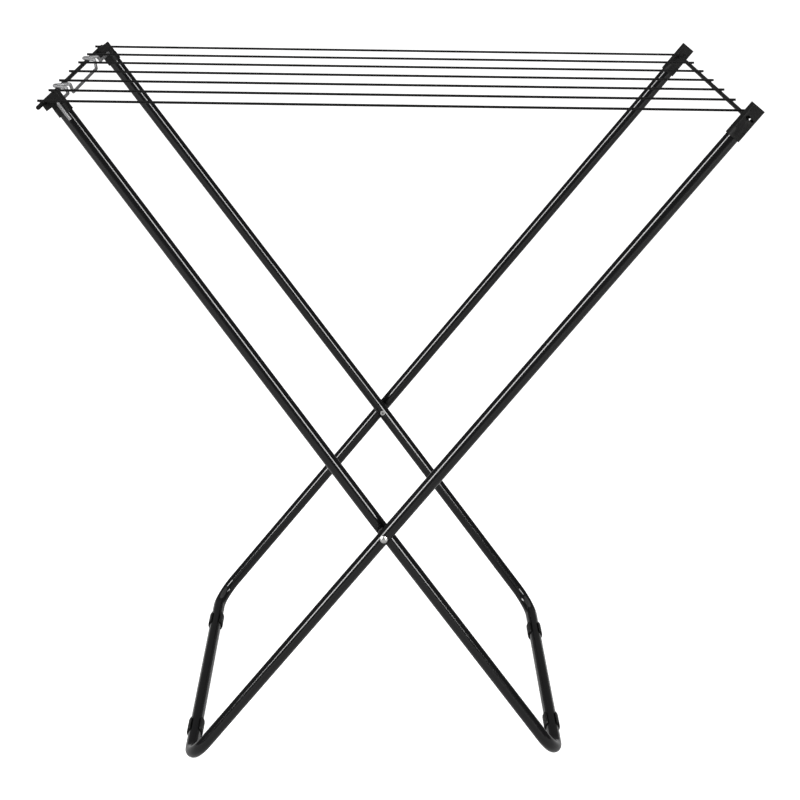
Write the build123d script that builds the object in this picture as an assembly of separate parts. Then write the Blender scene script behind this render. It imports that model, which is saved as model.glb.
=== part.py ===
from build123d import *
import os
from math import asin, atan2, cos, degrees, hypot, sin, tan

# Free-standing folding clothes airer: two crossed tube frames, a wire rack hinged on the outer frame
# and seated on the inner one. Millimetres, +Z up, +X towards the hinged end, feet on z = 0.
# Everything is drawn with the frames' pivot at x = 0 and moved to the box's middle at the end.

# overall sizes
rackHeight = 911.5
rackSpan = 874.0
pivotHeight = 345.5
hingeReach = 442.0
outerHalfWidth = 278.0
innerTopHalfWidth = 231.0

# tube frames
tubeRadius = 9.0
tubeWall = 1.2
cornerRadius = 38.0
kinkHeight = 20.0
kinkRadius = 300.0

# rack
rodRadius = 2.8
rodHalfLength = 284.0
wireRadius = 1.6
wireCount = 7
wirePitch = 85.0
wireOverhang = 3.0
weldDepth = 0.6

# feet clipped on the bottom bars
footWall = 2.5
footFlat = 0.6
footLength = 34.0
footMouth = 13.0
footChamfer = 1.4
outerFootSpacing = 181.0
innerFootSpacing = 155.0

# end caps of the legs
capWidth = 17.4
capDepth = 20.0
outerCapAbove = 18.5
outerCapBelow = 18.0
innerCapAbove = 1.5
innerCapBelow = 15.5
capEdge = 1.5
collarWall = 1.6
collarLength = 12.0
plugLength = 16.0
hingeOffset = 3.2
pocketWidth = 3.0
pocketLength = 6.0
seatOffset = 12.0
lugReach = 8.0
lugBelow = 13.0

# pivot rivets
rivetRadius = 2.5
rivetHeadRadius = 5.2
rivetHeadHeight = 2.4
rivetTailRadius = 3.8
rivetTailHeight = 1.6
rivetHollow = 1.6
shankInHead = 0.5
washerRadius = 8.0
washerThickness = 5.0

# locking bail
bailRadius = 2.2
bailBend = 2.8
bailInset = 18.0
bailLow = 1.0
bailDrop = 5.0
tailLength = 25.0
tailGap = 1.2
hookReach = 20.5
hookRise = 6.5
hookRear = 117.0
hookFront = -142.0
hookSpread = 22.0
hookTip = 3.0

# clearances
sleeveClearance = 0.05
pinClearance = 0.06
seatClearance = 0.3
sideClearance = 0.3
cutOvershoot = 1.0

# places in the side view, from the pivot
rise = rackHeight - pivotHeight
seatReach = rackSpan - hingeReach
footRadius = tubeRadius + footWall
barHeight = footRadius - footFlat
barDrop = pivotHeight - barHeight
hingeDistance = hypot(hingeReach, rise)
leanOuter = atan2(hingeReach, rise) + asin(hingeOffset / hingeDistance)
outerTop = (hingeDistance ** 2 - hingeOffset ** 2) ** 0.5
seatDistance = hypot(seatReach, rise)
leanInner = atan2(seatReach, rise) - asin(seatOffset / seatDistance)
innerTop = (seatDistance ** 2 - seatOffset ** 2) ** 0.5
innerHalfWidth = outerHalfWidth - 2 * tubeRadius - washerThickness - sideClearance - sleeveClearance
innerSplay = atan2(innerHalfWidth - innerTopHalfWidth, innerTop - innerCapBelow - kinkHeight)
wireHeight = rackHeight + rodRadius + wireRadius - weldDepth


def onLeg(shape, lean, height):
    # a shape drawn round a leg's axis, with +Z up the leg, put where it belongs
    return Pos(0, 0, pivotHeight) * Rot(0, degrees(lean), 0) * Pos(0, 0, height) * shape


def barAlongY(radius, x, z, start, end):
    return Solid.make_cylinder(radius, end - start, Plane(origin=(x, start, z), z_dir=(0, 1, 0)))


def barAlongX(radius, y, z, start, end):
    return Solid.make_cylinder(radius, end - start, Plane(origin=(start, y, z), z_dir=(1, 0, 0)))


def sweptRod(points, radii, radius):
    path = FilletPolyline(*points, radius=radii)
    return sweep(Plane(path @ 0, z_dir=path % 0) * Circle(radius), path=path)


def legFrame(lean, topHeight, halfWidths, kinked):
    # one tube bent to a U: down one leg, along the bottom bar and up the other leg
    topWidth, lowWidth = halfWidths
    low = -barDrop / cos(lean)
    half = [(0, topWidth, topHeight)]
    radii = []
    if kinked:
        half += [(0, lowWidth, kinkHeight)]
        radii += [kinkRadius]
    half += [(0, lowWidth, low)]
    radii += [cornerRadius]
    points = half + [(x, -y, z) for x, y, z in reversed(half)]
    radii = radii + radii[::-1]
    tube = sweptRod(points, radii, tubeRadius) - sweptRod(points, radii, tubeRadius - tubeWall)
    hole = barAlongY(rivetRadius + pinClearance, 0, 0, -2 * lowWidth, 2 * lowWidth)
    return onLeg(tube - hole, lean, 0)


def capBlank(base, top):
    # head, collar round the tube's end and plug inside it, with the leg's axis as Z
    head = Pos(0, 0, (base + top) / 2) * Box(capWidth, capDepth, top - base)
    head = fillet(head.edges().filter_by(Axis.Z), capEdge)
    collar = Pos(0, 0, base - collarLength / 2) * Cylinder(
        tubeRadius + sleeveClearance + collarWall, collarLength)
    sleeve = Pos(0, 0, base - collarLength / 2) * Cylinder(tubeRadius + sleeveClearance, collarLength)
    plug = Pos(0, 0, base - plugLength / 2) * Cylinder(
        tubeRadius - tubeWall - sleeveClearance, plugLength)
    return head + (collar - sleeve) + plug


def outerCap(side):
    # the rack's hinge rod turns in the head, and a moulded pocket runs outwards from its bore
    bore = barAlongY(rodRadius + pinClearance, -hingeOffset, outerTop, -capDepth, capDepth)
    pocket = Pos(rodRadius - hingeOffset + pocketLength / 2, 0, outerTop) * Box(
        pocketLength, 2 * capDepth, pocketWidth)
    cap = capBlank(outerTop - outerCapBelow, outerTop + outerCapAbove) - bore - pocket
    return onLeg(Pos(0, side * outerHalfWidth, 0) * cap, leanOuter, 0)


def innerCap(side):
    # a lug with an open ledge for the seat rod, and a cross hole in which the bail turns
    tubeEnd = innerTop - innerCapBelow
    top = innerTop + innerCapAbove
    lug = Pos(-(capWidth + lugReach) / 2 + capEdge, 0, top - lugBelow / 2) * Box(
        lugReach + 2 * capEdge, capDepth, lugBelow)
    cap = capBlank(tubeEnd, top) + lug
    cap = Rot(side * degrees(innerSplay), 0, 0) * Pos(0, 0, -tubeEnd) * cap
    cap = onLeg(Pos(0, side * innerTopHalfWidth, 0) * cap, -leanInner, tubeEnd)
    gap = rodRadius + seatClearance
    ledge = Pos(-seatReach - capWidth, side * innerTopHalfWidth, rackHeight + capWidth) * Box(
        2 * capWidth + 2 * gap, 2 * capDepth, 2 * capWidth + 2 * gap)
    hole = barAlongY(bailRadius + pinClearance, -seatReach + bailInset, rackHeight - bailLow,
                     -2 * outerHalfWidth, 2 * outerHalfWidth)
    return cap - ledge - hole


def foot(lean, place):
    # a clip round the bottom bar, open on top, with a small flat to stand on
    body = Cylinder(footRadius, footLength)
    body = chamfer(body.edges().filter_by(GeomType.CIRCLE), footChamfer)
    ring = body - Cylinder(tubeRadius + sleeveClearance, footLength)
    mouth = Pos(0, tubeRadius, 0) * Box(footMouth, 2 * tubeRadius, footLength)
    clip = Rot(-90, 0, 0) * Rot(0, 0, 180) * (ring - mouth)
    ground = Pos(0, 0, -footRadius) * Box(3 * footRadius, 2 * footLength, 2 * footFlat)
    return Pos(-barDrop * tan(lean), place, barHeight) * (clip - ground)


def pivotRivet(side):
    # domed head outside the outer frame, shank through both legs, rolled tail inside the inner one
    headFace = outerHalfWidth + tubeRadius
    tailFace = innerHalfWidth - tubeRadius - sideClearance
    shank = barAlongY(rivetRadius, 0, pivotHeight, tailFace - rivetTailHeight, headFace + shankInHead)
    ballRadius = (rivetHeadRadius ** 2 + rivetHeadHeight ** 2) / (2 * rivetHeadHeight)
    ball = Pos(0, headFace + rivetHeadHeight - ballRadius, pivotHeight) * Sphere(ballRadius)
    dome = ball & barAlongY(rivetHeadRadius, 0, pivotHeight, headFace, headFace + rivetHeadHeight)
    tail = barAlongY(rivetTailRadius, 0, pivotHeight, tailFace - rivetTailHeight, tailFace)
    hollow = barAlongY(rivetHollow, 0, pivotHeight,
                       tailFace - 2 * rivetTailHeight, tailFace + rivetTailHeight)
    rivet = shank + dome + tail - hollow
    return rivet if side > 0 else mirror(rivet, about=Plane.XZ)


def pivotWasher(side):
    start = outerHalfWidth - tubeRadius - sleeveClearance - washerThickness
    ring = barAlongY(washerRadius, 0, pivotHeight, start, start + washerThickness)
    hole = barAlongY(rivetRadius + pinClearance, 0, pivotHeight,
                     start - cutOvershoot, start + washerThickness + cutOvershoot)
    ring = ring - hole
    return ring if side > 0 else mirror(ring, about=Plane.XZ)


def rackWire(y):
    return barAlongX(wireRadius, y, wireHeight, -seatReach - rodRadius - wireOverhang,
                     hingeReach + rodRadius + wireOverhang)


def rackRod(x, wires):
    rod = barAlongY(rodRadius, x, rackHeight, -rodHalfLength, rodHalfLength)
    for wire in wires:
        rod = rod - wire
    return rod


def lockBail():
    # a spring wire through the inner caps, with a tail down each leg's outer face and two hooks that
    # rise between the rack's wires and lie over the seat rod
    axisX = -seatReach + bailInset
    axisZ = rackHeight - bailLow
    end = innerTopHalfWidth + tubeRadius + sleeveClearance + collarWall + tailGap + bailRadius
    tail = (tailLength * sin(leanInner), -tailLength * cos(leanInner))

    def hook(centre, first, last):
        # first and last are the heights at which the bail runs on before and after the hook
        return [
            (0, centre + hookSpread, first),
            (-hookTip, centre + hookSpread - 2 * hookTip, hookRise),
            (-hookReach, centre + hookTip, hookRise),
            (-hookReach, centre - hookTip, hookRise),
            (-hookTip, centre - hookSpread + 2 * hookTip, hookRise),
            (0, centre - hookSpread, last),
        ]

    route = [(tail[0], end, tail[1]), (0, end, 0)]
    route += hook(hookRear, 0, -bailDrop) + hook(hookFront, -bailDrop, 0)
    route += [(0, -end, 0), (tail[0], -end, tail[1])]
    points = [(axisX + x, y, axisZ + z) for x, y, z in route]
    return sweptRod(points, [bailBend] * (len(points) - 2), bailRadius)


def main():
    wires = [rackWire((i - (wireCount - 1) / 2) * wirePitch) for i in range(wireCount)]
    nodes = {
        "outer_frame_tube": legFrame(leanOuter, outerTop - outerCapBelow,
                                     (outerHalfWidth, outerHalfWidth), False),
        "inner_frame_tube": legFrame(-leanInner, innerTop - innerCapBelow,
                                     (innerTopHalfWidth, innerHalfWidth), True),
        "hinge_rod": rackRod(hingeReach, wires),
        "seat_rod": rackRod(-seatReach, wires),
        "lock_bail": lockBail(),
    }
    for i, wire in enumerate(wires):
        nodes[f"rack_wire_{i + 1}"] = wire
    for side, end in ((-1, "front"), (1, "rear")):
        nodes[f"outer_cap_{end}"] = outerCap(side)
        nodes[f"inner_cap_{end}"] = innerCap(side)
        nodes[f"outer_foot_{end}"] = foot(leanOuter, side * outerFootSpacing)
        nodes[f"inner_foot_{end}"] = foot(-leanInner, side * innerFootSpacing)
        nodes[f"pivot_rivet_{end}"] = pivotRivet(side)
        nodes[f"pivot_washer_{end}"] = pivotWasher(side)

    boxes = [shape.bounding_box() for shape in nodes.values()]
    shift = -(min(box.min.X for box in boxes) + max(box.max.X for box in boxes)) / 2
    os.makedirs("parts", exist_ok=True)
    for name, shape in nodes.items():
        export_step(Pos(shift, 0, 0) * shape, f"parts/{name}.step")
    print("pivot x", round(shift, 3), "hinge rod x", round(shift + hingeReach, 3),
          "seat rod x", round(shift - seatReach, 3), "bail x", round(shift - seatReach + bailInset, 3))
    print("inner half width", round(innerHalfWidth, 3),
          "bar x", round(shift - barDrop * tan(leanOuter), 3), round(shift + barDrop * tan(leanInner), 3))


main()
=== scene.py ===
import math

import bpy
import numpy as np
from mathutils import Matrix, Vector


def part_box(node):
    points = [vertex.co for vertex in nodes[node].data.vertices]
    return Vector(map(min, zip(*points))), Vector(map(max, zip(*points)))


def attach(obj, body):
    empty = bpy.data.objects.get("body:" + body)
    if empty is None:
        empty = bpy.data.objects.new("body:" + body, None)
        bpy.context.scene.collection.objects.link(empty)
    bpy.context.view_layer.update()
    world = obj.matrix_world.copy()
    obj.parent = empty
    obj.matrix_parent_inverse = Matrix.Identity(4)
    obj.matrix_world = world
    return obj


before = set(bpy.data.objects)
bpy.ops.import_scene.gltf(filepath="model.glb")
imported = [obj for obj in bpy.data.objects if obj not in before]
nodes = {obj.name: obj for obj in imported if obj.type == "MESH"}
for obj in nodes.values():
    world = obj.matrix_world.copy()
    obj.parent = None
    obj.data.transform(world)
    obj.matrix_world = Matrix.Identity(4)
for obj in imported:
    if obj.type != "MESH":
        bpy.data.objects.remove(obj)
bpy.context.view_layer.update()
print("stage: frame loaded,", len(nodes), "nodes")


def middle(node):  # centre of a node's box, in metres
    low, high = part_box(node)
    return (np.array(low) + np.array(high)) / 2


def size(node):  # extent of a node's box, in metres
    low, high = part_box(node)
    return np.array(high) - np.array(low)


# shader maths: a wrapped socket that adds Math nodes when it is used in an expression
class Flow:
    def __init__(self, tree, socket):
        self.tree = tree
        self.socket = socket

    def math(self, kind, first, second=0.0):
        return self.tree.node("ShaderNodeMath", {"operation": kind}, {0: first, 1: second})

    def __add__(self, other):
        return self.math("ADD", self, other)

    def __mul__(self, other):
        return self.math("MULTIPLY", self, other)

    def __sub__(self, other):
        return self.math("SUBTRACT", self, other)

    def __rsub__(self, other):
        return self.math("SUBTRACT", other, self)

    __radd__ = __add__
    __rmul__ = __mul__


class Finish:
    def __init__(self, name):
        self.material = bpy.data.materials.new(name)
        self.material.use_nodes = True
        self.tree = self.material.node_tree
        self.shader = self.tree.nodes["Principled BSDF"]
        self.place = self.node("ShaderNodeTexCoord", {}, {}, "Object")

    def node(self, kind, settings, inputs, output=0):
        made = self.tree.nodes.new(kind)
        for key, value in settings.items():
            if key == "stops":
                ramp = made.color_ramp
                while len(ramp.elements) < len(value):
                    ramp.elements.new(0.5)
                for element, (position, shade) in zip(ramp.elements, value):
                    element.position = position
                    element.color = (shade, shade, shade, 1)
            else:
                setattr(made, key, value)
        for key, value in inputs.items():
            if isinstance(value, Flow):
                self.tree.links.new(value.socket, made.inputs[key])
            else:
                made.inputs[key].default_value = value
        return Flow(self, made.outputs[output])

    def noise(self, scale, detail=4.0, stretch=(1, 1, 1), rough=0.55):
        spot = self.node("ShaderNodeMapping", {}, {"Vector": self.place, "Scale": stretch})
        inputs = {"Vector": spot, "Scale": scale, "Detail": detail, "Roughness": rough}
        return self.node("ShaderNodeTexNoise", {}, inputs)

    def ramp(self, value, *stops):
        return self.node("ShaderNodeValToRGB", {"stops": stops}, {0: value})

    def blend(self, factor, first, second):  # inputs 6 and 7 and output 2 are the Mix node's colours
        first, second = ((*shade, 1) if isinstance(shade, tuple) else shade for shade in (first, second))
        return self.node("ShaderNodeMix", {"data_type": "RGBA"}, {0: factor, 6: first, 7: second}, 2)

    def bump(self, height, strength, distance, under=None):
        inputs = {"Height": height, "Strength": strength, "Distance": distance}
        if under is not None:
            inputs["Normal"] = under
        return self.node("ShaderNodeBump", {}, inputs)

    def set(self, **inputs):
        for key, value in inputs.items():
            socket = self.shader.inputs[key.replace("_", " ")]
            if isinstance(value, Flow):
                self.tree.links.new(value.socket, socket)
            else:
                socket.default_value = value
        return self.material


# gloss enamel on the leg tubes: orange peel, faint dust and a few handling scuffs
enamel = {"deep": (0.002, 0.002, 0.0022), "thin": (0.004, 0.004, 0.0043), "dust": (0.03, 0.029, 0.028),
          "dusty": 0.35, "gloss": 0.14, "cloudy": 0.06, "dull": 0.2, "peel": 0.16, "peelDepth": 0.00012,
          "coat": 0.02, "coatGloss": 0.08, "index": 1.38}


def glossEnamel():
    finish = Finish("glossEnamel")
    cloud = finish.noise(26.0, 6.0)
    scuffs = finish.ramp(finish.noise(90.0, 8.0, (1, 1, 0.25), 0.7), (0.62, 0.0), (0.74, 1.0))
    dust = finish.ramp(finish.noise(420.0, 3.0), (0.66, 0.0), (0.8, 1.0))
    colour = finish.blend(cloud, enamel["deep"], enamel["thin"])
    colour = finish.blend(dust * enamel["dusty"], colour, enamel["dust"])
    normal = finish.bump(finish.noise(520.0, 2.0), enamel["peel"], enamel["peelDepth"])
    rough = cloud * enamel["cloudy"] + scuffs * enamel["dull"] + (enamel["gloss"] - enamel["cloudy"] / 2)
    return finish.set(Base_Color=colour, Roughness=rough, Normal=normal, Coat_Weight=enamel["coat"],
                      Coat_Roughness=enamel["coatGloss"], IOR=enamel["index"])


# moulded black plastic: fine spark texture, paler on worn high spots
moulded = {"dark": (0.002, 0.002, 0.0021), "pale": (0.006, 0.0059, 0.0058), "wear": (0.03, 0.029, 0.028),
           "worn": 0.25, "base": 0.36, "spread": 0.2, "wornRough": 0.08, "spark": 0.35, "pit": 0.12,
           "depth": 0.0001, "index": 1.22}


def mouldedPlastic():
    finish = Finish("mouldedPlastic")
    flow = finish.noise(60.0, 5.0, (1, 1, 0.5))
    grain = finish.noise(1900.0, 2.0)
    pits = finish.ramp(finish.noise(700.0, 2.0), (0.55, 0.0), (0.72, 1.0))
    worn = finish.ramp(finish.noise(140.0, 6.0), (0.55, 0.0), (0.75, 1.0))
    colour = finish.blend(flow, moulded["dark"], moulded["pale"])
    colour = finish.blend(worn * moulded["worn"], colour, moulded["wear"])
    normal = finish.bump(grain, moulded["spark"], moulded["depth"])
    normal = finish.bump(pits, moulded["pit"], moulded["depth"], normal)
    rough = flow * moulded["spread"] + worn * moulded["wornRough"] + moulded["base"]
    return finish.set(Base_Color=colour, Roughness=rough, Normal=normal, IOR=moulded["index"])


# powder-coated rack wire, slightly lumpy, paler where pegs rub it; the rods are a little paler
coated = {"dark": (0.002, 0.002, 0.0021), "pale": (0.005, 0.0049, 0.0049), "rub": (0.03, 0.029, 0.028),
          "rubbed": 0.3, "wireLift": 0.0, "rodLift": 0.04, "lump": 0.3, "lumpDepth": 0.00018,
          "base": 0.3, "lumpRough": 0.12, "rubRough": 0.1, "coat": 0.02, "index": 1.2}


def coatedWire(name, lift):
    finish = Finish(name)
    lumps = finish.noise(300.0, 4.0)
    rub = finish.ramp(finish.noise(34.0, 7.0, (0.5, 1, 1), 0.65), (0.6, 0.0), (0.78, 1.0))
    colour = finish.blend(lumps, coated["dark"], coated["pale"])
    colour = finish.blend(rub * coated["rubbed"] + lift, colour, coated["rub"])
    normal = finish.bump(lumps, coated["lump"], coated["lumpDepth"])
    rough = lumps * coated["lumpRough"] + rub * coated["rubRough"] + coated["base"]
    return finish.set(Base_Color=colour, Roughness=rough, Normal=normal, Coat_Weight=coated["coat"],
                      IOR=coated["index"])


# zinc-plated spring wire: spangle, drawing lines along it and dull bloom
zinc = {"bright": (0.26, 0.26, 0.263), "bloom": (0.17, 0.17, 0.172), "dirt": (0.12, 0.117, 0.112),
        "spangle": 0.5, "dirty": 0.35, "drawn": 0.25, "drawnDepth": 0.00008,
        "base": 0.34, "bloomRough": 0.2, "drawnRough": 0.1, "metal": 0.7, "dirtMetal": 0.4}


def zincWire():
    finish = Finish("zincWire")
    cells = {"Vector": finish.place, "Scale": 420.0}
    spangle = finish.node("ShaderNodeTexVoronoi", {"feature": "F1"}, cells, "Distance")
    bloom = finish.noise(150.0, 6.0)
    dirt = finish.ramp(finish.noise(260.0, 5.0), (0.58, 0.0), (0.75, 1.0))
    drawn = finish.noise(1500.0, 3.0, (1, 0.06, 1))
    colour = finish.blend(finish.ramp(bloom, (0.35, 0.0), (0.7, 1.0)), zinc["bright"], zinc["bloom"])
    colour = finish.blend(spangle * zinc["spangle"], colour, zinc["bloom"])
    colour = finish.blend(dirt * zinc["dirty"], colour, zinc["dirt"])
    normal = finish.bump(drawn, zinc["drawn"], zinc["drawnDepth"])
    rough = bloom * zinc["bloomRough"] + drawn * zinc["drawnRough"] + zinc["base"]
    metal = (1 - dirt * zinc["dirtMetal"]) * zinc["metal"]
    return finish.set(Base_Color=colour, Roughness=rough, Metallic=metal, Normal=normal)


# bright rivet steel: turned rings round the pivot's axis and small dents
rivetSteel = {"bright": (0.62, 0.62, 0.61), "shade": (0.36, 0.36, 0.355), "ring": 0.15, "ringDepth": 0.00006,
              "base": 0.18, "cloudRough": 0.2, "ringRough": 0.06, "dulled": 0.05}


def rivetMetal():
    finish = Finish("rivetMetal")
    pivot = middle("pivot_rivet_front")
    centred = {"Vector": finish.place, "Location": (-pivot[0], 0, -pivot[2])}
    spot = finish.node("ShaderNodeMapping", {}, centred)
    rings = finish.node("ShaderNodeTexWave", {"wave_type": "RINGS", "rings_direction": "Y"},
                        {"Vector": spot, "Scale": 620.0, "Distortion": 1.2, "Detail": 2.0})
    cloud = finish.noise(500.0, 5.0)
    colour = finish.blend(cloud, rivetSteel["bright"], rivetSteel["shade"])
    normal = finish.bump(rings, rivetSteel["ring"], rivetSteel["ringDepth"])
    rough = cloud * rivetSteel["cloudRough"] + rings * rivetSteel["ringRough"] + rivetSteel["base"]
    metal = 1 - cloud * rivetSteel["dulled"]
    return finish.set(Base_Color=colour, Roughness=rough, Metallic=metal, Normal=normal)


# nylon spacer between the legs
nylon = {"dark": (0.018, 0.018, 0.019), "pale": (0.036, 0.036, 0.037), "grain": 0.2, "depth": 0.0001,
         "base": 0.38, "spread": 0.2}


def nylonSpacer():
    finish = Finish("nylonSpacer")
    cloud = finish.noise(220.0, 4.0)
    colour = finish.blend(cloud, nylon["dark"], nylon["pale"])
    normal = finish.bump(finish.noise(1400.0, 2.0), nylon["grain"], nylon["depth"])
    rough = cloud * nylon["spread"] + nylon["base"]
    return finish.set(Base_Color=colour, Roughness=rough, Normal=normal)


tubeFinish = glossEnamel()
plasticFinish = mouldedPlastic()
wireFinish = coatedWire("coatedWire", coated["wireLift"])
rodFinish = coatedWire("coatedRod", coated["rodLift"])
finishes = {"frame_tube": tubeFinish, "cap": plasticFinish, "foot": plasticFinish, "rivet": rivetMetal(),
            "washer": nylonSpacer(), "bail": zincWire(), "rack_wire": wireFinish, "rod": rodFinish}
for name, thing in nodes.items():
    finish = next(value for key, value in finishes.items() if key in name)
    thing.data.materials.clear()
    thing.data.materials.append(finish)
print("stage: finishes on the CAD nodes")


# a small weld bead each side of every wire where it lies in its saddle on a rod
bead = {"along": 0.0034, "across": 0.0017, "tall": 0.0011, "rows": 9, "columns": 14,
        "poleCut": 1.45, "aside": 0.85, "sink": 0.0002, "wires": 7}


def weldBeads():
    # an ellipsoid for each bead: latitude runs from pole to pole, longitude round the bead's long axis,
    # so x is the sine of latitude, and y and z are its cosine turned by longitude
    latitude = np.linspace(-bead["poleCut"], bead["poleCut"], bead["rows"])[:, None]
    longitude = np.linspace(0, 2 * math.pi, bead["columns"], endpoint=False)[None, :]
    unit = np.stack([np.sin(latitude) + 0 * longitude, np.cos(latitude) * np.cos(longitude),
                     np.cos(latitude) * np.sin(longitude)], axis=-1)
    shape = (unit * np.array([bead["along"], bead["across"], bead["tall"]])).reshape(-1, 3)
    index = np.arange(len(shape)).reshape(bead["rows"], bead["columns"])
    ahead = np.roll(index, -1, axis=1)
    quads = np.stack([index[:-1], ahead[:-1], ahead[1:], index[1:]], axis=-1).reshape(-1, 4)
    poles = (index[0][::-1], index[-1])
    vertices = []
    faces = []
    for rod in ("hinge_rod", "seat_rod"):
        centre = middle(rod)
        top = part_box(rod)[1][2]
        for number in range(1, bead["wires"] + 1):
            wire = f"rack_wire_{number}"
            reach = bead["aside"] * size(wire)[1] / 2
            for side in (-1, 1):
                first = len(vertices) * len(shape)
                vertices.append(shape + [centre[0], middle(wire)[1] + side * reach, top - bead["sink"]])
                faces += (quads + first).tolist()
                faces += [(pole + first).tolist() for pole in poles]
    mesh = bpy.data.meshes.new("weldBeads")
    mesh.from_pydata(np.concatenate(vertices).tolist(), [], faces)
    mesh.polygons.foreach_set("use_smooth", np.ones(len(mesh.polygons), dtype=bool))
    thing = bpy.data.objects.new("weldBeads", mesh)
    bpy.context.collection.objects.link(thing)
    mesh.materials.append(rodFinish)
    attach(thing, "airer_rack")


weldBeads()
print("stage: weld beads")


# the room: pale floor, a very wide soft light overhead and two tall strips that draw thin highlights
room = {"half": 30.0, "glow": 0.93, "plain": (0.4, 0.4, 0.4), "cloud": (0.43, 0.43, 0.43),
        "rough": 0.9, "shine": 0.1}
lights = {"seen": 1.0, "dim": 0.12, "skyPower": 1.3, "skySpread": 75.0, "panels": (
    ("leftStrip", (-2.6, -1.9, 1.9), (0, 0, 0.5), (0.8, 2.4), 170),
    ("rightStrip", (2.3, -2.3, 1.7), (0, 0, 0.5), (0.7, 2.2), 130))}


def floorSweep():
    finish = Finish("paleFloor")
    colour = finish.blend(finish.noise(1.2, 3.0), room["plain"], room["cloud"])
    seen = finish.node("ShaderNodeLightPath", {}, {}, "Is Camera Ray")
    glow = finish.blend(seen, (0.0, 0.0, 0.0), (1.0, 1.0, 1.0))  # the glow is for the eye, not a light
    finish.set(Base_Color=colour, Roughness=room["rough"], Specular_IOR_Level=room["shine"],
               Emission_Color=glow, Emission_Strength=room["glow"])
    half = room["half"]
    mesh = bpy.data.meshes.new("floor")
    corners = [(-half, -half, 0), (half, -half, 0), (half, half, 0), (-half, half, 0)]
    mesh.from_pydata(corners, [], [(0, 1, 2, 3)])
    thing = bpy.data.objects.new("floor", mesh)
    bpy.context.collection.objects.link(thing)
    mesh.materials.append(finish.material)


def softWorld():
    # a white surround for the eye, dimmer as a light so that the black enamel stays deep
    world = bpy.data.worlds.new("softRoom")
    bpy.context.scene.world = world
    world.use_nodes = True
    tree = world.node_tree
    path = tree.nodes.new("ShaderNodeLightPath")
    level = tree.nodes.new("ShaderNodeMapRange")
    level.inputs["To Min"].default_value = lights["dim"]
    level.inputs["To Max"].default_value = lights["seen"]
    tree.links.new(path.outputs["Is Camera Ray"], level.inputs["Value"])
    tree.nodes["Background"].inputs["Color"].default_value = (1, 1, 1, 1)
    tree.links.new(level.outputs["Result"], tree.nodes["Background"].inputs["Strength"])


def overheadSky():
    # a very wide overhead sun, which lights the whole floor alike
    lamp = bpy.data.lights.new("overheadSky", "SUN")
    lamp.energy = lights["skyPower"]
    lamp.angle = math.radians(lights["skySpread"])
    thing = bpy.data.objects.new("overheadSky", lamp)
    bpy.context.collection.objects.link(thing)


def softLight(name, place, aim, extent, power):
    lamp = bpy.data.lights.new(name, "AREA")
    lamp.shape = "RECTANGLE"
    lamp.size, lamp.size_y = extent
    lamp.energy = power
    thing = bpy.data.objects.new(name, lamp)
    bpy.context.collection.objects.link(thing)
    back = np.array(place, dtype=float) - np.array(aim, dtype=float)
    back /= np.linalg.norm(back)
    right = np.cross((0, 0, 1), back)
    right /= np.linalg.norm(right)
    up = np.cross(back, right)
    turn = Matrix([list(axis) for axis in zip(right, up, back)]).to_4x4()
    thing.matrix_world = Matrix.Translation(place) @ turn


floorSweep()
for name, *facts in lights["panels"]:
    softLight(name, *facts)
overheadSky()
softWorld()
bpy.context.scene.view_settings.view_transform = "Standard"
print("stage: room and lights")

# the camera, in metres and degrees: it looks along +Y, slightly down, from just left of the pivot
eye = {"aside": -0.01975, "back": -2.61993, "height": 1.29818, "down": 17.999, "turn": -0.9375,
       "roll": 0.9397, "lens": 85.5, "sensor": 36.0}


def addCamera():
    down, turn, roll = (math.radians(eye[key]) for key in ("down", "turn", "roll"))
    ahead = np.array([-math.sin(turn) * math.cos(down), math.cos(turn) * math.cos(down), -math.sin(down)])
    level = np.array([math.cos(turn), math.sin(turn), 0.0])
    up = np.cross(level, ahead)
    right = math.cos(roll) * level + math.sin(roll) * up
    up = -math.sin(roll) * level + math.cos(roll) * up
    lens = bpy.data.cameras.new("camera")
    lens.lens = eye["lens"]
    lens.sensor_width = eye["sensor"]
    thing = bpy.data.objects.new("camera", lens)
    bpy.context.collection.objects.link(thing)
    place = (middle("pivot_rivet_front")[0] + eye["aside"], eye["back"], eye["height"])
    turned = Matrix([list(row) for row in zip(right, up, -ahead)]).to_4x4()
    thing.matrix_world = Matrix.Translation(place) @ turned
    bpy.context.scene.camera = thing


addCamera()
print("stage: camera")
